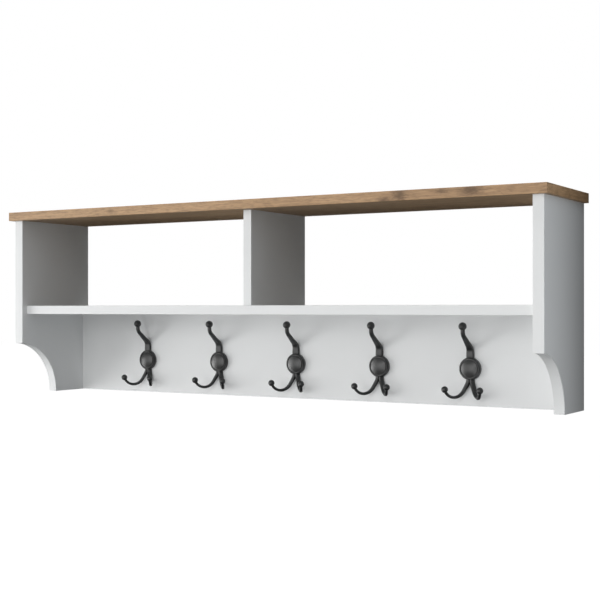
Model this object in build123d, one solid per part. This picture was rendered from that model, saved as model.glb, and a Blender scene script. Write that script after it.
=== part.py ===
from build123d import *
import os
from math import cos, pi, radians, sin

# A wall hook rack: an oak-faced top on a white carcass, with an open shelf in two
# compartments, and five black three-armed hooks on the back board under the shelf.
#
# Units are millimetres. +X runs to the right along the wall, +Y into the wall, +Z up.
# The part's origin is on the wall plane, in the middle of the back board's rear face.
# Heights in this file count from the bottom edge of the side panels, and every part is
# lowered by ORIGIN_Z as it is written.

# ---- overall size
WIDTH = 1080.0
DEPTH = 200.0
HEIGHT = 350.0

# ---- boards
BOARD = 16.0                # thickness of the top, shelf, divider and back board
SIDE = 18.0                 # thickness of the side panels
BAND = 1.0                  # thickness of the edge bands
EASED = 0.7                 # radius on the outer corners of the edge bands
TOP_SIDE_OVERHANG = 8.0
TOP_FRONT_OVERHANG = 10.0
SHELF_TOP = 170.0
SHELF_SETBACK = 12.0        # behind the front edges of the sides
DIVIDER_SETBACK = 10.0
CUT_RADIUS = 98.0           # concave cut at the bottom front of each side
CUT_AHEAD = 4.0             # the cut's centre stands this far in front of the side

# ---- hooks
HOOK_COUNT = 5
HOOK_Z = 63.2               # height of the round bases
BASE_RADIUS = 19.0
BASE_THICKNESS = 7.4
RECESS_RADIUS = 16.4
RIM_BEVEL = 2.0
BASE_FLOOR = 3.4            # metal left behind the recess
CAP_RISE = 2.7              # of the dome above the rim
CAP_EDGE = 0.8              # rounding of the dome's edge
CAP_WALL = 1.2
CAP_SKIRT = 2.6
GROOVE_WIDTH = 1.3          # between the dome and the rim
GROOVE_DEPTH = 1.5
UPPER_BALL_RADIUS = 6.9
LOWER_BALL_RADIUS = 5.7
HOOK_SCREW_OFFSET = 9.0     # above and below the centre of the base

# ---- fittings
FIT = 0.1                   # gap left around everything that goes into a hole
CAM_RADIUS = 7.5
CAM_DEPTH = 12.5
CAM_REACH = 24.0            # from the side panel's face to the cam's centre
CAM_BOLT_RADIUS = 3.4
CAM_THREAD_RADIUS = 2.5
CAM_THREAD = 11.0
DOWEL_RADIUS = 4.0
DOWEL_LENGTH = 30.0
DOWEL_IN_FACE = 10.0        # length of a dowel in the hole in a board's face
ASSEMBLY_HEAD = 5.0
ASSEMBLY_RADIUS = 3.5
ASSEMBLY_LENGTH = 50.0
ASSEMBLY_YS = (-150.0, -40.0)
COVER_RADIUS = 6.0
COVER_THICKNESS = 2.0
SHELF_CAM_YS = (-140.0, -40.0)
SHELF_DOWEL_Y = -90.0
BACK_CAM_ZS = (38.0, 116.0)
BACK_DOWEL_Z = 77.0
TOP_DOWEL_XS = (-330.0, -120.0, 120.0, 330.0)

# ---- keyhole hangers in the rear edges of the sides
PLATE_WIDTH = 16.0
PLATE_HEIGHT = 45.0
PLATE_THICKNESS = 2.0
PLATE_Z = 300.0             # height of the plate's middle
PLATE_SCREW_OFFSET = 18.0
KEYHOLE_Z = 294.0           # height of the round entry
KEYHOLE_RADIUS = 4.75
KEYHOLE_SLOT = 5.0
KEYHOLE_RISE = 10.0
POCKET_DEPTH = 10.0         # behind the plate, for the head of the wall screw
POCKET_MARGIN = 6.0

# ---- derived levels
SIDE_OUT = WIDTH / 2 - TOP_SIDE_OVERHANG
SIDE_IN = SIDE_OUT - SIDE
SIDE_MID = SIDE_OUT - SIDE / 2
SIDE_FRONT = TOP_FRONT_OVERHANG - DEPTH
SHELF_FRONT = SIDE_FRONT + SHELF_SETBACK
DIVIDER_FRONT = SIDE_FRONT + DIVIDER_SETBACK
TOP_UNDER = HEIGHT - BOARD
SHELF_UNDER = SHELF_TOP - BOARD
SHELF_MID = SHELF_TOP - BOARD / 2
ORIGIN_Z = SHELF_UNDER / 2  # the middle of the back board
BACK_MID = -BOARD / 2
HOOK_PITCH = 2 * SIDE_IN / (HOOK_COUNT + 1)
SIDES = {"left": -1, "right": 1}

BOTTOM = (Align.CENTER, Align.CENTER, Align.MIN)


# ---------------------------------------------------------------- basic shapes

def block(x, y, z):
    """A box between the low and high values of each axis."""
    middle = [(low + high) / 2 for low, high in (x, y, z)]
    size = [high - low for low, high in (x, y, z)]
    return Pos(*middle) * Box(*size)


def turned(outline):
    """The solid turned about Z from (radius, height) points."""
    face = make_face(Polyline(*outline, close=True))
    return revolve(Plane.XZ * face, Axis.Z)


def group(solids):
    """Separate solids kept together in one node."""
    return Compound(children=[solid for item in solids for solid in item.solids()])


def eased_band(x, y, z, outward):
    """A straight edge band whose outer face has eased corners."""
    band = block(x, y, z)
    outer = band.faces().sort_by(Axis((0, 0, 0), outward))[-1]
    return fillet(outer.edges(), EASED)


# ---------------------------------------------------------------- fasteners

def screw(head, radius, length, pitch):
    """A countersunk wood screw along -Z, its flat head at z = 0."""
    root = 0.7 * radius
    neck = head - root
    tip = 2 * radius
    outline = [(0, 0), (head, 0), (root, -neck)]
    ridges = int((length - neck - tip) / pitch)
    for i in range(ridges):
        crest = neck + (i + 0.5) * pitch
        outline.append((radius, -crest))
        outline.append((root, -crest - 0.5 * pitch))
    outline.append((0, -length))
    wing = block((-0.55 * head, 0.55 * head), (-0.12 * head, 0.12 * head), (-0.45 * head, 0))
    return turned(outline) - wing - Rot(Z=90) * wing


def screw_bore(head, radius, length):
    """The countersunk hole for that screw, running on above z = 0."""
    wide = head + FIT
    narrow = radius + FIT
    end = length + 0.5
    return turned([(0, 1), (wide, 1), (wide, 0), (narrow, narrow - wide), (narrow, -end), (0, -end)])


def cam_bolt():
    """A cam bolt along +Z: thread below the panel's face, shank and head above it."""
    ridges = 7
    pitch = CAM_THREAD / ridges
    root = 0.8 * CAM_THREAD_RADIUS
    outline = [(0, -CAM_THREAD)]
    for i in range(ridges):
        outline.append((root, -CAM_THREAD + i * pitch))
        outline.append((CAM_THREAD_RADIUS, -CAM_THREAD + (i + 0.5) * pitch))
    neck = CAM_REACH - 6.5
    head = CAM_REACH - 2.5
    outline += [(root, 0), (CAM_BOLT_RADIUS, 0), (CAM_BOLT_RADIUS, neck)]
    outline += [(root, neck), (root, head), (CAM_BOLT_RADIUS - 0.4, head), (CAM_BOLT_RADIUS - 0.4, CAM_REACH + 1)]
    outline += [(CAM_BOLT_RADIUS - 1.4, CAM_REACH + 2), (0, CAM_REACH + 2)]
    return turned(outline)


def cam_nut():
    """The round nut that draws the bolt in, its mouth towards +X and its axis at the bolt's end."""
    along = Plane(origin=(BOARD / 2, 0, CAM_REACH), z_dir=(-1, 0, 0))
    drum = along * Cylinder(CAM_RADIUS - FIT, CAM_DEPTH - FIT, align=BOTTOM)
    reach = CAM_BOLT_RADIUS + FIT
    throat = block((-reach, reach), (-reach, reach), (CAM_REACH - CAM_RADIUS - 1, CAM_REACH + 3))
    arm = block((-4.5, 4.5), (-0.9, 0.9), (0, 2.5))
    cross = arm + Rot(Z=90) * arm
    return drum - throat - along * cross


def cam_holes():
    """Everything a cam fitting takes out of the two boards."""
    thread = Pos(Z=-CAM_THREAD - 0.5) * Cylinder(CAM_THREAD_RADIUS + FIT, CAM_THREAD + 0.5, align=BOTTOM)
    shank = Cylinder(CAM_BOLT_RADIUS + FIT, CAM_REACH, align=BOTTOM)
    mouth = Plane(origin=(BOARD / 2, 0, CAM_REACH), z_dir=(-1, 0, 0))
    drum = mouth * Pos(Z=-1) * Cylinder(CAM_RADIUS, CAM_DEPTH + 1, align=BOTTOM)
    return [thread, shank, drum]


def dowel():
    """A fluted dowel along +Z, with the panel's face at z = 0."""
    stick = Pos(Z=-DOWEL_IN_FACE) * Cylinder(DOWEL_RADIUS - FIT, DOWEL_LENGTH, align=BOTTOM)
    stick = chamfer(stick.edges().filter_by(GeomType.CIRCLE), 0.8)
    flutes = 8
    for i in range(flutes):
        angle = 2 * pi * i / flutes
        spot = Pos(DOWEL_RADIUS * cos(angle), DOWEL_RADIUS * sin(angle), -DOWEL_IN_FACE)
        stick -= spot * Cylinder(0.45, DOWEL_LENGTH, align=BOTTOM)
    return stick


def dowel_hole():
    """The hole for the dowel in both boards, a little deeper than the dowel."""
    return Pos(Z=-DOWEL_IN_FACE - 0.5) * Cylinder(DOWEL_RADIUS, DOWEL_LENGTH + 1, align=BOTTOM)


# ---------------------------------------------------------------- where the fittings go

# Each place is a plane on the face that the fitting enters, with Z out of that face.
SHELF_CAMS = [
    Plane(origin=(side * SIDE_IN, y, SHELF_MID), x_dir=(0, 0, -1), z_dir=(-side, 0, 0))
    for side in SIDES.values()
    for y in SHELF_CAM_YS
]
BACK_CAMS = [
    Plane(origin=(side * SIDE_IN, BACK_MID, z), x_dir=(0, 1, 0), z_dir=(-side, 0, 0))
    for side in SIDES.values()
    for z in BACK_CAM_ZS
]
SHELF_DOWELS = [
    Plane(origin=(side * SIDE_IN, SHELF_DOWEL_Y, SHELF_MID), z_dir=(-side, 0, 0))
    for side in SIDES.values()
]
BACK_DOWELS = [
    Plane(origin=(side * SIDE_IN, BACK_MID, BACK_DOWEL_Z), z_dir=(-side, 0, 0))
    for side in SIDES.values()
]
TOP_DOWELS = [Plane(origin=(x, BACK_MID, SHELF_UNDER), z_dir=(0, 0, -1)) for x in TOP_DOWEL_XS]
TOP_SCREWS = [
    Plane(origin=(x, y, HEIGHT - COVER_THICKNESS), z_dir=(0, 0, 1))
    for x in (-SIDE_MID, 0, SIDE_MID)
    for y in ASSEMBLY_YS
]
DIVIDER_SCREWS = [Plane(origin=(0, y, SHELF_UNDER), z_dir=(0, 0, -1)) for y in ASSEMBLY_YS]
HANGER_SCREWS = [
    Plane(origin=(side * SIDE_MID, 0, PLATE_Z + offset), z_dir=(0, 1, 0))
    for side in SIDES.values()
    for offset in (-PLATE_SCREW_OFFSET, PLATE_SCREW_OFFSET)
]
HOOK_XS = [(i - (HOOK_COUNT - 1) / 2) * HOOK_PITCH for i in range(HOOK_COUNT)]


def hook_plane(x):
    """A hook's own frame: X right, Y up and Z out of the back board, at the base's centre."""
    return Plane(origin=(x, -BOARD, HOOK_Z), x_dir=(1, 0, 0), z_dir=(0, -1, 0))


HOOK_SCREWS = [
    hook_plane(x) * Pos(0, offset, BASE_FLOOR)
    for x in HOOK_XS
    for offset in (-HOOK_SCREW_OFFSET, HOOK_SCREW_OFFSET)
]
HOOK_SCREW = dict(head=3.5, radius=1.75, length=16.0)
HANGER_SCREW = dict(head=2.8, radius=1.4, length=16.0)
ASSEMBLY_SCREW = dict(head=ASSEMBLY_HEAD, radius=ASSEMBLY_RADIUS, length=ASSEMBLY_LENGTH)


def all_bores():
    """Every hole that a fitting needs, in whichever boards it passes through."""
    bores = [place * hole for place in SHELF_CAMS + BACK_CAMS for hole in cam_holes()]
    bores += [place * dowel_hole() for place in SHELF_DOWELS + BACK_DOWELS + TOP_DOWELS]
    bores += [place * screw_bore(**ASSEMBLY_SCREW) for place in TOP_SCREWS + DIVIDER_SCREWS]
    bores += [place * screw_bore(**HANGER_SCREW) for place in HANGER_SCREWS]
    bores += [place * screw_bore(**HOOK_SCREW) for place in HOOK_SCREWS]
    cover = Cylinder(COVER_RADIUS + FIT, COVER_THICKNESS + 1, align=BOTTOM)
    bores += [place * cover for place in TOP_SCREWS]
    return bores


def bored(board):
    """The board with every hole that reaches it."""
    reach = board.bounding_box()
    for bore in BORES:
        box = bore.bounding_box()
        apart = [
            box.min.X > reach.max.X,
            box.max.X < reach.min.X,
            box.min.Y > reach.max.Y,
            box.max.Y < reach.min.Y,
            box.min.Z > reach.max.Z,
            box.max.Z < reach.min.Z,
        ]
        if not any(apart):
            board -= bore
    return board


# ---------------------------------------------------------------- the top

def top_parts():
    """The top board and its four edge bands."""
    half = WIDTH / 2
    z = (TOP_UNDER, HEIGHT)
    core = block((BAND - half, half - BAND), (BAND - DEPTH, -BAND), z)
    return {
        "top_board": bored(core),
        "top_front_band": eased_band((-half, half), (-DEPTH, BAND - DEPTH), z, (0, -1, 0)),
        "top_rear_band": eased_band((-half, half), (-BAND, 0), z, (0, 1, 0)),
        "top_left_band": eased_band((-half, BAND - half), (BAND - DEPTH, -BAND), z, (-1, 0, 0)),
        "top_right_band": eased_band((half - BAND, half), (BAND - DEPTH, -BAND), z, (1, 0, 0)),
    }


# ---------------------------------------------------------------- the sides

def side_outline(inset):
    """A side panel's outline, seen along X, moved in along its front edge and its cut."""
    front = SIDE_FRONT + inset
    sheet = Pos(front / 2, TOP_UNDER / 2) * Rectangle(-front, TOP_UNDER)
    cut = Pos(SIDE_FRONT - CUT_AHEAD, 0) * Circle(CUT_RADIUS + inset)
    return Plane.YZ * (sheet - cut)


def side_slab(side, outline):
    """The outline made as thick as a side panel, in that side's place."""
    return Pos(X=side * SIDE_MID - SIDE / 2) * extrude(outline, SIDE)


def foot_zone(side):
    """The strip at the bottom of a side that its bottom band takes up."""
    middle = side * SIDE_MID
    return block((middle - SIDE, middle + SIDE), (SIDE_FRONT, BAND), (0, BAND))


def keyhole_outline():
    """The round entry with the narrow slot that rises from it, seen from behind."""
    slot = Pos(0, KEYHOLE_RISE / 2) * Rectangle(KEYHOLE_SLOT, KEYHOLE_RISE)
    end = Pos(0, KEYHOLE_RISE) * Circle(KEYHOLE_SLOT / 2)
    return Circle(KEYHOLE_RADIUS) + slot + end


def rear_plane(side, z):
    """The rear edge of a side panel at a height, with Z towards the wall."""
    return Plane(origin=(side * SIDE_MID, 0, z), x_dir=(-1, 0, 0), z_dir=(0, 1, 0))


def hanger_pocket(side):
    """The recess for a hanger plate and the pocket behind its keyhole."""
    sheet = RectangleRounded(PLATE_WIDTH + 2 * FIT, PLATE_HEIGHT + 2 * FIT, 3)
    recess = rear_plane(side, PLATE_Z) * extrude(sheet, -PLATE_THICKNESS)
    x = side * SIDE_MID
    pocket = block(
        (x - POCKET_MARGIN, x + POCKET_MARGIN),
        (-PLATE_THICKNESS - POCKET_DEPTH, 0),
        (KEYHOLE_Z - POCKET_MARGIN, KEYHOLE_Z + KEYHOLE_RISE + POCKET_MARGIN),
    )
    return recess + pocket


def hanger_plate(side):
    """The steel keyhole plate, flush with the rear edge."""
    sheet = RectangleRounded(PLATE_WIDTH, PLATE_HEIGHT, 3)
    sheet -= Pos(0, KEYHOLE_Z - PLATE_Z) * keyhole_outline()
    plate = rear_plane(side, PLATE_Z) * extrude(sheet, -PLATE_THICKNESS)
    for place in HANGER_SCREWS:
        if place.origin.X * side > 0:
            plate -= place * screw_bore(**HANGER_SCREW)
    return plate


def side_band(side):
    """The band bent round the front edge and the concave cut."""
    band = side_slab(side, side_outline(0)) - side_slab(side, side_outline(BAND))
    outer_front = band.faces().sort_by(Axis.Y)[0]
    arcs = band.faces().filter_by(GeomType.CYLINDER)
    outer_cut = arcs.sort_by(lambda face: face.radius)[0]
    long_edges = [
        edge
        for face in (outer_front, outer_cut)
        for edge in face.edges()
        if edge.bounding_box().size.X < EASED
    ]
    return fillet(long_edges, EASED)


def side_parts():
    """Both side panels with their bands and hanger plates."""
    parts = {}
    for name, side in SIDES.items():
        core = side_slab(side, side_outline(BAND)) - foot_zone(side) - hanger_pocket(side)
        parts[f"{name}_side_panel"] = bored(core)
        parts[f"{name}_side_band"] = side_band(side)
        parts[f"{name}_hanger_plate"] = hanger_plate(side)
    feet = [side_slab(side, side_outline(BAND)) & foot_zone(side) for side in SIDES.values()]
    parts["side_foot_bands"] = group(feet)
    return parts


# ---------------------------------------------------------------- shelf, divider, back

def inner_parts():
    """The shelf, the divider and the back board with their visible edge bands."""
    inside = (-SIDE_IN, SIDE_IN)
    thick = (-BOARD / 2, BOARD / 2)
    shelf_z = (SHELF_UNDER, SHELF_TOP)
    divider_z = (SHELF_TOP, TOP_UNDER)
    back_y = (-BOARD, 0)
    return {
        "shelf_board": bored(block(inside, (SHELF_FRONT + BAND, 0), shelf_z)),
        "shelf_front_band": eased_band(inside, (SHELF_FRONT, SHELF_FRONT + BAND), shelf_z, (0, -1, 0)),
        "centre_divider": bored(block(thick, (DIVIDER_FRONT + BAND, 0), divider_z)),
        "divider_front_band": eased_band(thick, (DIVIDER_FRONT, DIVIDER_FRONT + BAND), divider_z, (0, -1, 0)),
        "back_board": bored(block(inside, back_y, (BAND, SHELF_UNDER))),
        "back_bottom_band": eased_band(inside, back_y, (0, BAND), (0, 0, -1)),
    }


# ---------------------------------------------------------------- hooks

def arm_section(centre, direction, across, width, thickness):
    """A rounded cross-section of an arm, square to the arm's direction."""
    plane = Plane(origin=centre, x_dir=across, z_dir=direction)
    return plane * RectangleRounded(width, thickness, 0.44 * min(width, thickness))


def upper_arm():
    """The S-shaped arm that rises from the base and ends in the large ball."""
    flat = 2.8
    end = 35.2
    path = FilletPolyline((0, 12, flat), (0, 34, flat), (0, 58.4, end), (0, 71.6, end), radius=(12, 17))
    # place along the arm, width, thickness
    stations = [
        (0.00, 14.2, 5.6),
        (0.12, 14.0, 5.6),
        (0.24, 13.4, 5.6),
        (0.36, 12.1, 5.6),
        (0.48, 10.6, 5.6),
        (0.60, 9.3, 5.5),
        (0.72, 8.3, 5.5),
        (0.84, 7.5, 5.7),
        (0.98, 6.8, 6.2),
    ]
    sections = [
        arm_section(path @ place, path % place, (1, 0, 0), width, thickness)
        for place, width, thickness in stations
    ]
    return loft(sections) + Pos(path @ 1) * Sphere(UPPER_BALL_RADIUS)


def lower_arm(side):
    """One of the pair of J-shaped arms that spread below the base and end in small balls."""
    root_x = 3.5
    turn = radians(51.2)                # of the arm's upright plane away from the back board
    reach_of_ball = 44.8
    bow = 2.5                           # the arm bows outwards from that plane at mid reach
    bend_reach = 25.5                   # from the root to the centre of the J's bend
    bend_y = -27.9
    bend_radius = 20.0
    slant = 30.0                        # angle round the bend where the straight part runs in
    ball_angle = 161.7                  # of the bend, from its inner end to the ball

    def point(reach, y):
        place = reach / reach_of_ball
        aside = 4 * bow * place * (1 - place)
        x = root_x + reach * cos(turn) + aside * sin(turn)
        return Vector(side * x, y, 2.5 + reach * sin(turn) - aside * cos(turn))

    def on_bend(angle):
        reach = bend_reach - bend_radius * cos(radians(angle))
        return point(reach, bend_y - bend_radius * sin(radians(angle)))

    def on_slant(length):
        reach = bend_reach - bend_radius * cos(radians(slant)) - length * sin(radians(slant))
        return point(reach, bend_y - bend_radius * sin(radians(slant)) + length * cos(radians(slant)))

    # centre, width, thickness
    stations = [
        (point(0, -11.5), 8.6, 5.5),
        (point(0, -17.5), 8.7, 5.6),
        (point(0.7, -23.5), 8.8, 5.8),
        (on_slant(6), 8.6, 5.9),
        (on_bend(slant), 8.2, 5.8),
        (on_bend(50), 7.5, 5.6),
        (on_bend(70), 6.7, 5.3),
        (on_bend(90), 6.0, 5.1),
        (on_bend(110), 5.5, 4.9),
        (on_bend(130), 5.2, 4.9),
        (on_bend(152), 5.2, 4.9),
    ]
    ball = on_bend(ball_angle)
    centres = [centre for centre, width, thickness in stations] + [ball]
    sections = []
    for i, (centre, width, thickness) in enumerate(stations):
        direction = centres[i + 1] - centres[max(i - 1, 0)]
        across = Vector(side * sin(turn), 0, -cos(turn))
        across -= direction * (across.dot(direction) / direction.dot(direction))
        sections.append(arm_section(centre, direction, across, width, thickness))
    return loft(sections) + Pos(*ball) * Sphere(LOWER_BALL_RADIUS)


def hook_body():
    """The cast hook in its own frame: round base, three arms, recess and screw holes."""
    base = Cylinder(BASE_RADIUS, BASE_THICKNESS, align=BOTTOM)
    rim = base.edges().sort_by(Axis.Z)[-1]
    body = chamfer(rim, RIM_BEVEL) + upper_arm() + lower_arm(-1) + lower_arm(1)
    body -= Pos(Z=-10) * Box(60, 200, 20)
    body -= Pos(Z=BASE_FLOOR) * Cylinder(RECESS_RADIUS, BASE_THICKNESS, align=BOTTOM)
    for offset in (-HOOK_SCREW_OFFSET, HOOK_SCREW_OFFSET):
        body -= Pos(0, offset, BASE_FLOOR) * screw_bore(**HOOK_SCREW)
    return body


def hook_cap():
    """The hollow domed cap that closes the base and hides the screws; a groove runs around the dome."""
    edge = RECESS_RADIUS - FIT
    shoulder = edge - GROOVE_WIDTH
    dome_radius = (shoulder ** 2 + CAP_RISE ** 2) / (2 * CAP_RISE)
    dome_z = BASE_THICKNESS + CAP_RISE - dome_radius
    foot = BASE_THICKNESS - CAP_SKIRT
    tall = 2 * CAP_RISE + CAP_SKIRT
    dome = Pos(Z=foot) * Cylinder(shoulder, tall, align=BOTTOM) & Pos(Z=dome_z) * Sphere(dome_radius)
    brow = [loop for loop in dome.edges() if loop.is_closed and loop.center().Z > foot + 1]
    dome = fillet(brow, CAP_EDGE)
    skirt = Pos(Z=foot) * Cylinder(edge, CAP_SKIRT - GROOVE_DEPTH, align=BOTTOM)
    hollow = Pos(Z=foot) * Cylinder(shoulder - CAP_WALL, tall, align=BOTTOM)
    hollow &= Pos(Z=dome_z) * Sphere(dome_radius - CAP_WALL)
    return skirt + dome - hollow


def hook_parts():
    """The bodies, caps and screws of all the hooks."""
    body = hook_body()
    cap = hook_cap()
    parts = {}
    for number, x in enumerate(HOOK_XS, start=1):
        screws = HOOK_SCREWS[2 * number - 2:2 * number]
        parts[f"hook_{number}_body"] = hook_plane(x) * body
        parts[f"hook_{number}_cap"] = hook_plane(x) * cap
        parts[f"hook_{number}_screws"] = group([place * screw(pitch=1.4, **HOOK_SCREW) for place in screws])
    return parts


# ---------------------------------------------------------------- fasteners in place

def fastener_parts():
    """The fittings that hold the boards together and the plates on."""
    cover = chamfer(Cylinder(COVER_RADIUS, COVER_THICKNESS, align=BOTTOM).edges().sort_by(Axis.Z)[-1], 0.3)
    return {
        "shelf_cam_bolts": group([place * cam_bolt() for place in SHELF_CAMS]),
        "shelf_cam_nuts": group([place * cam_nut() for place in SHELF_CAMS]),
        "back_cam_bolts": group([place * cam_bolt() for place in BACK_CAMS]),
        "back_cam_nuts": group([place * cam_nut() for place in BACK_CAMS]),
        "side_dowels": group([place * dowel() for place in SHELF_DOWELS + BACK_DOWELS]),
        "shelf_to_back_dowels": group([place * dowel() for place in TOP_DOWELS]),
        "top_assembly_screws": group([place * screw(pitch=3.0, **ASSEMBLY_SCREW) for place in TOP_SCREWS]),
        "top_screw_covers": group([place * cover for place in TOP_SCREWS]),
        "divider_screws": group([place * screw(pitch=3.0, **ASSEMBLY_SCREW) for place in DIVIDER_SCREWS]),
        "hanger_screws": group([place * screw(pitch=1.2, **HANGER_SCREW) for place in HANGER_SCREWS]),
    }


def at_origin(shape):
    """A node's solids, lowered so that the part's origin is where it should be."""
    solids = [Pos(0, 0, -ORIGIN_Z) * solid for solid in shape.solids()]
    return solids[0] if len(solids) == 1 else Compound(children=solids)


BORES = all_bores()
PARTS = {**top_parts(), **side_parts(), **inner_parts(), **hook_parts(), **fastener_parts()}

os.makedirs("parts", exist_ok=True)
for node, shape in PARTS.items():
    export_step(at_origin(shape), f"parts/{node}.step")
print(len(PARTS), "nodes")
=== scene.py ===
import math

import bpy
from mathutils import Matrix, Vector


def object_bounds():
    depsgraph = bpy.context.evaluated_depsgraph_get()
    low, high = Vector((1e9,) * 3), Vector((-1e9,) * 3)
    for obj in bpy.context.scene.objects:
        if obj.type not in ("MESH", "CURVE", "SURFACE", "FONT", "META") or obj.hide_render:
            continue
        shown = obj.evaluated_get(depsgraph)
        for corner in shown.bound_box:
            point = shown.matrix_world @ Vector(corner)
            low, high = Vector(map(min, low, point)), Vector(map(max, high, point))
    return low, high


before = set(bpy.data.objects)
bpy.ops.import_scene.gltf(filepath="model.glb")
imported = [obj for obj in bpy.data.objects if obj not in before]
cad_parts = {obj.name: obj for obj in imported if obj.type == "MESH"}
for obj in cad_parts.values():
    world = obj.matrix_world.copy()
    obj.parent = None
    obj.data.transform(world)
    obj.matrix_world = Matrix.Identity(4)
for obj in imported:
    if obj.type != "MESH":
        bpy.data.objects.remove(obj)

cad_low, cad_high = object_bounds()

# A wall hook rack. Metres, in the frame of the CAD model: +X right along the wall, +Y into the
# wall, +Z up. The rack is at the wall plane, y = 0, and all its shapes are the CAD model's own.
MM = 0.001
FRONT_Y = cad_low.y
TOP_Z = cad_high.z

# The top's broad faces are darkened and cooled against its edging as painted shade, since the
# underside is seen only in shade: red, green and blue against the edging.
TOP_PAINTED_SHADE = (0.76, 0.81, 0.88)
# Dark marks in the print on the top's front edge: centre, radius along the grain, radius
# across it, strength.
EDGE_MARKS = [
    ((0.299, FRONT_Y, TOP_Z - 8 * MM), 21 * MM, 17 * MM, 1.0),
    ((0.272, FRONT_Y, TOP_Z - 14 * MM), 20 * MM, 7 * MM, 0.95),
    ((0.420, FRONT_Y, TOP_Z - 6 * MM), 28 * MM, 14 * MM, 1.0),
    ((0.372, FRONT_Y, TOP_Z - 5 * MM), 20 * MM, 7 * MM, 0.80),
    ((-0.285, FRONT_Y, TOP_Z - 8 * MM), 14 * MM, 7 * MM, 0.60),
]

# The lamps are upright softboxes on a sphere around the rack, facing it.
LAMP_DISTANCE = 6.0
LAMP_WIDTH = 1.6
LAMP_HEIGHT = 3.2
NEUTRAL = (1.0, 1.0, 1.0)
COOL = (0.945, 0.975, 1.0)
# name, degrees to the right of straight in front, degrees up, watts, colour
LAMPS = [
    ("front", 0, 0, 40, NEUTRAL),
    ("front_left", -15, 0, 38, NEUTRAL),
    ("front_left_wide", -30, 0, 18, NEUTRAL),
    ("front_far_left", -45, 0, 28, NEUTRAL),
    ("side_left", -60, 0, 80, NEUTRAL),
    ("side_left_low", -60, -20, 30, NEUTRAL),
    ("side_far_left_low", -75, -20, 100, NEUTRAL),
    ("front_right_raised", 15, 20, 60, NEUTRAL),
    ("front_right_low", 15, -20, 36, NEUTRAL),
    ("front_right_high", 30, 40, 20, COOL),
    ("side_right_high", 60, 40, 18, COOL),
    ("side_right_low", 60, -40, 25, COOL),
    ("far_right_low", 90, -40, 16, COOL),
    ("overhead", 0, 89, 260, NEUTRAL),
    ("rear", -150, 3, 155, NEUTRAL),
]
# Lamps that the glossy finishes don't mirror.
UNMIRRORED = {"rear"}
# A pale reflector in the wall plane, to the right of the rack.
REFLECTOR_X = (0.95, 1.55)
REFLECTOR_Z = (-0.58, 0.72)
REFLECTOR_WATTS = 9.0
AMBIENT = 0.03
FLOOR_Z = -4.0
FLOOR_REACH = 99.0

# The camera is level and looks along the rack from its right end.
CAMERA_PLACE = (1.121, -1.870, 0.0865)
CAMERA_TURN = 31.0
CAMERA_LENS = 70.9
CAMERA_SENSOR = 36.0
CAMERA_SHIFT = 0.0152


# ---------------------------------------------------------------- node helpers

class Finish:
    """A material built up from nodes; every value passed in is a number, a colour or a socket."""

    def __init__(self, name, **surface):
        self.material = bpy.data.materials.new(name)
        self.material.use_nodes = True
        self.tree = self.material.node_tree
        self.shader = self.tree.nodes["Principled BSDF"]
        self.place = self.add("ShaderNodeTexCoord").outputs["Object"]
        self.surface(**surface)

    def add(self, kind, settings=None, **inputs):
        node = self.tree.nodes.new(kind)
        for key, value in (settings or {}).items():
            setattr(node, key, value)
        for key, value in inputs.items():
            self.feed(node.inputs[key.replace("_", " ")], value)
        return node

    def feed(self, socket, value):
        if isinstance(value, bpy.types.NodeSocket):
            self.tree.links.new(value, socket)
        elif socket.type == "RGBA":
            socket.default_value = opaque(value)
        else:
            socket.default_value = value

    def surface(self, **inputs):
        for key, value in inputs.items():
            self.feed(self.shader.inputs[key.replace("_", " ")], value)

    def stretched(self, scale, offset=(0, 0, 0)):
        """The object's coordinates, scaled per axis: detail gets finer as the scale grows."""
        node = self.add("ShaderNodeMapping", Vector=self.place, Scale=scale, Location=offset)
        return node.outputs[0]

    def noise(self, at, scale=1.0, detail=3.0, roughness=0.5, distortion=0.0):
        node = self.add("ShaderNodeTexNoise", Vector=at, Scale=scale, Detail=detail)
        node.inputs["Roughness"].default_value = roughness
        node.inputs["Distortion"].default_value = distortion
        return node.outputs[0]

    def ramp(self, value, *stops, smooth=False):
        """A colour ramp; each stop is (position, grey level or colour)."""
        node = self.add("ShaderNodeValToRGB", Fac=value)
        node.color_ramp.interpolation = "EASE" if smooth else "LINEAR"
        elements = node.color_ramp.elements
        while len(elements) < len(stops):
            elements.new(0.5)
        for element, (position, colour) in zip(elements, stops):
            element.position = position
            element.color = opaque(colour)
        return node.outputs[0]

    def level(self, value, low, high):
        """A 0 to 1 value spread between two levels."""
        node = self.add("ShaderNodeMapRange", Value=value)
        node.inputs["To Min"].default_value = low
        node.inputs["To Max"].default_value = high
        return node.outputs[0]

    def mix(self, amount, a, b):
        node = self.add("ShaderNodeMix", {"data_type": "RGBA"}, Factor=amount)
        colour_a, colour_b = [socket for socket in node.inputs if socket.type == "RGBA"]
        self.feed(colour_a, a)
        self.feed(colour_b, b)
        return [socket for socket in node.outputs if socket.type == "RGBA"][0]

    def calc(self, operation, a, b=0.0):
        node = self.add("ShaderNodeMath", {"operation": operation})
        self.feed(node.inputs[0], a)
        self.feed(node.inputs[1], b)
        return node.outputs[0]

    def added(self, a, b):
        """The sum of two vectors."""
        node = self.add("ShaderNodeVectorMath", {"operation": "ADD"})
        self.feed(node.inputs[0], a)
        self.feed(node.inputs[1], b)
        return node.outputs[0]

    def length(self, vector):
        node = self.add("ShaderNodeVectorMath", {"operation": "LENGTH"})
        self.feed(node.inputs[0], vector)
        return node.outputs["Value"]

    def bump(self, height, depth, strength=1.0, under=None):
        """A bump whose height runs over depth metres, laid on another bump if one is given."""
        node = self.add("ShaderNodeBump", Height=height, Distance=depth, Strength=strength)
        if under is not None:
            self.feed(node.inputs["Normal"], under)
        return node.outputs[0]

    def axis(self, socket, letter):
        return self.add("ShaderNodeSeparateXYZ", Vector=socket).outputs[letter]


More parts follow.
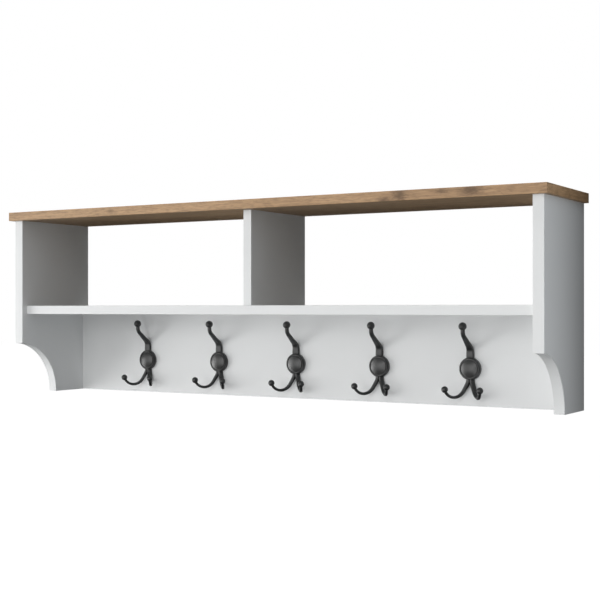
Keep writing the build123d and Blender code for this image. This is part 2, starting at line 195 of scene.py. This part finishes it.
def opaque(colour):
    """A colour or a grey level as red, green, blue and alpha."""
    return (*colour, 1.0) if isinstance(colour, tuple) else (colour, colour, colour, 1.0)


def scaled(colour, by):
    return tuple(by * part for part in colour)


# ---------------------------------------------------------------- board finishes

def raw_chips(finish):
    """Sawn particleboard: packed chips of different woods, and the pits between them."""
    dark_chip = (0.20, 0.13, 0.07)
    brown_chip = (0.42, 0.29, 0.17)
    pale_chip = (0.60, 0.46, 0.30)
    dust_brown = (0.33, 0.24, 0.15)
    cells = finish.add("ShaderNodeTexVoronoi", Vector=finish.stretched((260, 260, 420)), Scale=1.0)
    tone = finish.axis(cells.outputs["Color"], "X")
    chips = finish.ramp(tone, (0.0, dark_chip), (0.45, brown_chip), (1.0, pale_chip))
    dust = finish.noise(finish.place, scale=900.0, detail=4.0)
    dusty = finish.mix(finish.level(dust, 0.0, 0.5), chips, dust_brown)
    return dusty, cells.outputs["Distance"]


def sawn_edge_mask(finish):
    """1 on the unbanded rear edges, which face the wall and lie in the wall plane."""
    nearly_square = 0.9
    nearly_touching = -0.3 * MM
    normal = finish.add("ShaderNodeTexCoord").outputs["Normal"]
    faces_wall = finish.calc("GREATER_THAN", finish.axis(normal, "Y"), nearly_square)
    on_wall = finish.calc("GREATER_THAN", finish.axis(finish.place, "Y"), nearly_touching)
    return finish.calc("MULTIPLY", faces_wall, on_wall)


def white_melamine(name, sawn):
    """White melamine with a fine pearl grain; sawn says that the rear edge shows the core."""
    dull_white = (0.768, 0.779, 0.780)
    clear_white = (0.788, 0.797, 0.797)
    speck_grey = (0.66, 0.68, 0.685)
    core_roughness = 0.92
    finish = Finish(name, IOR=1.5)
    cloud = finish.noise(finish.place, scale=7.0)
    speck = finish.noise(finish.place, scale=1300.0, detail=2.0)
    base = finish.mix(finish.level(cloud, 0.2, 0.8), dull_white, clear_white)
    base = finish.mix(finish.level(speck, 0.0, 0.10), base, speck_grey)
    pearl = finish.noise(finish.place, scale=1700.0, detail=2.0, roughness=0.6)
    ripple = finish.noise(finish.place, scale=130.0, detail=2.0)
    smudge = finish.noise(finish.place, scale=22.0, detail=5.0, roughness=0.65)
    gloss = finish.level(smudge, 0.34, 0.50)
    shape = finish.bump(ripple, 0.05 * MM, 0.35)
    shape = finish.bump(pearl, 0.05 * MM, 0.5, under=shape)
    if sawn:
        mask = sawn_edge_mask(finish)
        chips, pits = raw_chips(finish)
        base = finish.mix(mask, base, chips)
        gloss = finish.mix(mask, gloss, core_roughness)
        sawn_pits = finish.calc("MULTIPLY", mask, pits)
        shape = finish.bump(sawn_pits, 0.6 * MM, 0.8, under=shape)
    finish.surface(Base_Color=base, Roughness=gloss, Normal=shape)
    return finish.material


def white_edging():
    """White extruded edging: a shade brighter and shinier than the boards, with draw lines."""
    dull_white = (0.795, 0.808, 0.808)
    clear_white = (0.815, 0.826, 0.824)
    finish = Finish("white_edging", IOR=1.5)
    cloud = finish.noise(finish.place, scale=12.0, detail=2.0)
    base = finish.mix(finish.level(cloud, 0.2, 0.8), dull_white, clear_white)
    draw = finish.noise(finish.stretched((1500, 700, 700)), detail=2.0)
    wave = finish.noise(finish.place, scale=90.0, detail=2.0)
    shape = finish.bump(wave, 0.06 * MM, 0.3)
    shape = finish.bump(draw, 0.03 * MM, 0.4, under=shape)
    gloss = finish.level(finish.noise(finish.place, scale=35.0, detail=4.0), 0.28, 0.42)
    finish.surface(Base_Color=base, Roughness=gloss, Normal=shape)
    return finish.material


def oak(name, grain, painted_shade=(1.0, 1.0, 1.0), gloss=(0.46, 0.62), marks=()):
    """Oak-look print with its grain along an axis: growth figure, fibres, pores and patches."""
    finish = Finish(name, IOR=1.48)

    def along(fine, coarse):
        return tuple(coarse if letter == grain else fine for letter in "XYZ")

    # Every colour of the print is multiplied by the painted shade given for the board.
    def with_painted_shade(colour):
        return tuple(t * c for t, c in zip(painted_shade, colour))

    light = with_painted_shade((0.535, 0.341, 0.184))
    middle = with_painted_shade((0.430, 0.266, 0.139))
    dark = with_painted_shade((0.225, 0.132, 0.066))
    pale = with_painted_shade((0.700, 0.455, 0.255))
    mark_brown = scaled(dark, 0.7)
    ring_bend = 9.0
    ring_count = 7.0

    drift_at = finish.stretched(along(22, 2.2))
    drift = finish.noise(drift_at, detail=4.0, roughness=0.55, distortion=0.6)
    base = finish.mix(finish.ramp(drift, (0.34, 0.0), (0.68, 1.0), smooth=True), light, middle)

    bend = finish.noise(finish.stretched(along(9, 2.6)), detail=2.0)
    bend = finish.calc("MULTIPLY", bend, ring_bend)
    rings = finish.noise(finish.added(finish.stretched(along(46, 1.5)), bend), detail=2.0)
    ring = finish.calc("PINGPONG", finish.calc("MULTIPLY", rings, ring_count), 1.0)
    base = finish.mix(finish.ramp(ring, (0.72, 0.0), (1.0, 0.42)), base, dark)

    streak = finish.noise(finish.stretched(along(330, 62), (0.3, 0.9, 0.1)), roughness=0.6)
    base = finish.mix(finish.ramp(streak, (0.44, 0.0), (0.68, 0.55)), base, dark)
    fibre = finish.noise(finish.stretched(along(950, 14)), roughness=0.6)
    base = finish.mix(finish.ramp(fibre, (0.42, 0.0), (0.75, 0.45)), base, dark)
    pores = finish.noise(finish.stretched(along(1500, 75)), detail=1.0)
    pores = finish.ramp(pores, (0.63, 0.0), (0.72, 1.0))
    base = finish.mix(finish.calc("MULTIPLY", pores, 0.55), base, dark)
    rays = finish.noise(finish.stretched(along(420, 20), (3.1, 1.7, 0.4)), detail=2.0)
    base = finish.mix(finish.ramp(rays, (0.54, 0.0), (0.76, 0.45)), base, pale)

    patch_at = finish.stretched(along(26, 5), (0.7, 0.2, 0.9))
    patch = finish.noise(patch_at, roughness=0.6, distortion=1.2)
    base = finish.mix(finish.ramp(patch, (0.60, 0.0), (0.74, 0.6), smooth=True), base, dark)
    for mark in marks:
        base = finish.mix(dark_mark(finish, *mark), base, mark_brown)

    wear = finish.noise(finish.place, scale=30.0, detail=4.0)
    shape = finish.bump(pores, 0.12 * MM, -0.5)
    shape = finish.bump(fibre, 0.08 * MM, 0.4, under=shape)
    finish.surface(Base_Color=base, Roughness=finish.level(wear, *gloss), Normal=shape)
    return finish.material


def dark_mark(finish, centre, length, height, strength):
    """How much of a soft dark mark with a ragged edge there is: strength inside it, 0 outside."""
    raggedness = 1.4
    scale = (1 / length, 1 / height, 1 / height)
    offset = tuple(-c * k for c, k in zip(centre, scale))
    distance = finish.length(finish.stretched(scale, offset))
    ragged = finish.noise(finish.stretched((110, 500, 500)), roughness=0.65)
    reach = finish.calc("ADD", distance, finish.calc("MULTIPLY", ragged, raggedness))
    half_reach = finish.calc("MULTIPLY", reach, 0.5)
    return finish.ramp(half_reach, (0.35, strength), (0.85, 0.0), smooth=True)


# ---------------------------------------------------------------- metal and dowel finishes

def black_coat(name, black, gloss):
    """Satin black coat on a casting: fine powder texture over the slight waves of the cast skin."""
    deeper = scaled(black, 0.85)
    lighter = scaled(black, 1.2)
    grit_grey = scaled(black, 3.0)
    finish = Finish(name, IOR=1.62)
    cloud = finish.noise(finish.place, scale=60.0)
    grit = finish.noise(finish.place, scale=2600.0, detail=2.0)
    base = finish.mix(cloud, deeper, lighter)
    base = finish.mix(finish.ramp(grit, (0.58, 0.0), (0.75, 0.25)), base, grit_grey)
    skin = finish.noise(finish.place, scale=240.0, detail=2.0)
    shape = finish.bump(skin, 0.10 * MM, 0.35)
    shape = finish.bump(grit, 0.035 * MM, 0.6, under=shape)
    rub = finish.noise(finish.place, scale=110.0, detail=4.0, roughness=0.6)
    finish.surface(Base_Color=base, Roughness=finish.level(rub, *gloss), Normal=shape)
    return finish.material


def plated(name, light, dark, gloss):
    """Plated metal: cloudy tone, fine scratches and uneven gloss over a dull passivated skin."""
    finish = Finish(name, Metallic=0.6)
    cloud = finish.noise(finish.place, scale=260.0, detail=4.0, roughness=0.6)
    scratch = finish.noise(finish.stretched((300, 300, 4000)), detail=2.0)
    base = finish.mix(finish.ramp(cloud, (0.3, 0.0), (0.7, 1.0)), dark, light)
    rough = finish.noise(finish.place, scale=500.0)
    shape = finish.bump(scratch, 0.02 * MM, 0.5)
    finish.surface(Base_Color=base, Roughness=finish.level(rough, *gloss), Normal=shape)
    return finish.material


def beech():
    """Bare beech dowel: straight pale grain with short flecks."""
    pale_wood = (0.66, 0.49, 0.33)
    brown_wood = (0.50, 0.34, 0.21)
    fleck_brown = (0.30, 0.18, 0.10)
    finish = Finish("beech_dowel", IOR=1.45)
    grain = finish.noise(finish.stretched((900, 900, 200)))
    fleck = finish.noise(finish.stretched((2500, 2500, 700)), detail=1.0)
    base = finish.mix(finish.level(grain, 0.1, 0.9), pale_wood, brown_wood)
    base = finish.mix(finish.ramp(fleck, (0.62, 0.0), (0.7, 0.6)), base, fleck_brown)
    shape = finish.bump(grain, 0.1 * MM, 0.4)
    finish.surface(Base_Color=base, Roughness=finish.level(grain, 0.6, 0.8), Normal=shape)
    return finish.material


# ---------------------------------------------------------------- dressing the CAD nodes

def dress(material, *nodes):
    """Gives CAD nodes their finish."""
    for name in nodes:
        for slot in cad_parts[name].material_slots:
            slot.material = material


def dress_boards():
    sawn = white_melamine("white_board_sawn", sawn=True)
    dress(sawn, "left_side_panel", "right_side_panel", "shelf_board", "centre_divider")
    dress(white_melamine("white_board", sawn=False), "back_board")
    white_bands = ["left_side_band", "right_side_band", "side_foot_bands"]
    white_bands += ["shelf_front_band", "divider_front_band", "back_bottom_band"]
    dress(white_edging(), *white_bands)
    # The top board and its screw covers carry painted shade in their oak print.
    dress(oak("oak_board", grain="X", painted_shade=TOP_PAINTED_SHADE), "top_board", "top_screw_covers")
    edge_gloss = (0.42, 0.58)
    long_edging = oak("oak_edging", grain="X", gloss=edge_gloss, marks=EDGE_MARKS)
    dress(long_edging, "top_front_band", "top_rear_band")
    end_edging = oak("oak_end_edging", grain="Y", gloss=edge_gloss)
    dress(end_edging, "top_left_band", "top_right_band")


def dress_metal_and_dowels():
    nodes = list(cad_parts)
    castings = [name for name in nodes if name.startswith("hook_") and name.endswith("_body")]
    caps = [name for name in nodes if name.startswith("hook_") and name.endswith("_cap")]
    steel = [name for name in nodes if name.endswith(("_screws", "_bolts", "_plate"))]
    # The casting gets a darker black than its cap: painted shade on the casting for the dark ring
    # round the cap, and painted light on the cap.
    coat = black_coat("black_casting", black=(0.0125, 0.013, 0.0128), gloss=(0.30, 0.42))
    lit_cap_coat = black_coat("black_cap", black=(0.021, 0.0215, 0.021), gloss=(0.30, 0.38))
    zinc_light = (0.80, 0.80, 0.78)
    zinc_dark = (0.60, 0.60, 0.60)
    zinc_plate = plated("zinc_plate", zinc_light, zinc_dark, gloss=(0.24, 0.42))
    casting_light = (0.58, 0.59, 0.61)
    casting_dark = (0.40, 0.41, 0.43)
    cast_zinc = plated("cast_zinc", casting_light, casting_dark, gloss=(0.42, 0.60))
    dress(coat, *castings)
    dress(lit_cap_coat, *caps)
    dress(zinc_plate, *steel)
    dress(cast_zinc, "shelf_cam_nuts", "back_cam_nuts")
    dress(beech(), "side_dowels", "shelf_to_back_dowels")


# ---------------------------------------------------------------- studio

def add_lamp(name, place, towards, size, watts, colour):
    data = bpy.data.lights.new(name, "AREA")
    data.shape = "RECTANGLE"
    data.size, data.size_y = size
    data.energy = watts
    data.color = colour
    lamp = bpy.data.objects.new(name, data)
    lamp.location = place
    lamp.rotation_euler = Vector(towards).to_track_quat("-Z", "Y").to_euler()
    lamp.visible_camera = False
    lamp.visible_glossy = name not in UNMIRRORED
    bpy.context.scene.collection.objects.link(lamp)


def softboxes():
    centre = (cad_low + cad_high) / 2
    for name, turn, rise, watts, colour in LAMPS:
        turn, rise = math.radians(turn), math.radians(rise)
        level = math.cos(rise)
        away = Vector((math.sin(turn) * level, -math.cos(turn) * level, math.sin(rise)))
        place = centre + LAMP_DISTANCE * away
        add_lamp(name, place, -away, (LAMP_WIDTH, LAMP_HEIGHT), watts, colour)


def reflector():
    place = (sum(REFLECTOR_X) / 2, 0.0, sum(REFLECTOR_Z) / 2)
    size = (REFLECTOR_X[1] - REFLECTOR_X[0], REFLECTOR_Z[1] - REFLECTOR_Z[0])
    add_lamp("reflector", place, (0, -1, 0), size, REFLECTOR_WATTS, COOL)


def floor():
    """A plain pale floor, well below the rack; it glows, and throws no light on the rack."""
    corners = [(x, y, FLOOR_Z) for x, y in ((-1, -1), (1, -1), (1, 1), (-1, 1))]
    corners = [(FLOOR_REACH * x, FLOOR_REACH * y, z) for x, y, z in corners]
    mesh = bpy.data.meshes.new("floor")
    mesh.from_pydata(corners, [], [(0, 1, 2, 3)])
    finish = Finish("studio_floor", Roughness=0.8, Base_Color=0.9, Emission_Strength=1.0)
    finish.surface(Emission_Color=1.0)
    mesh.materials.append(finish.material)
    ground = bpy.data.objects.new("floor", mesh)
    ground.visible_diffuse = False
    ground.visible_glossy = False
    ground.visible_shadow = False
    bpy.context.scene.collection.objects.link(ground)


def sky():
    """White behind the object, and a faint even light on it."""
    world = bpy.data.worlds.new("studio")
    world.use_nodes = True
    bpy.context.scene.world = world
    tree = world.node_tree
    seen = tree.nodes.new("ShaderNodeLightPath").outputs["Is Camera Ray"]
    strength = tree.nodes.new("ShaderNodeMapRange")
    strength.inputs["To Min"].default_value = AMBIENT
    strength.inputs["To Max"].default_value = 1.0
    background = tree.nodes["Background"]
    background.inputs["Color"].default_value = opaque(1.0)
    tree.links.new(seen, strength.inputs["Value"])
    tree.links.new(strength.outputs[0], background.inputs["Strength"])


def camera():
    data = bpy.data.cameras.new("camera")
    data.lens = CAMERA_LENS
    data.sensor_width = CAMERA_SENSOR
    data.shift_y = CAMERA_SHIFT
    view = bpy.data.objects.new("camera", data)
    view.location = CAMERA_PLACE
    view.rotation_euler = (math.radians(90), 0, math.radians(CAMERA_TURN))
    bpy.context.scene.collection.objects.link(view)
    bpy.context.scene.camera = view


dress_boards()
dress_metal_and_dowels()
softboxes()
reflector()
floor()
sky()
camera()
bpy.context.scene.view_settings.view_transform = "Standard"
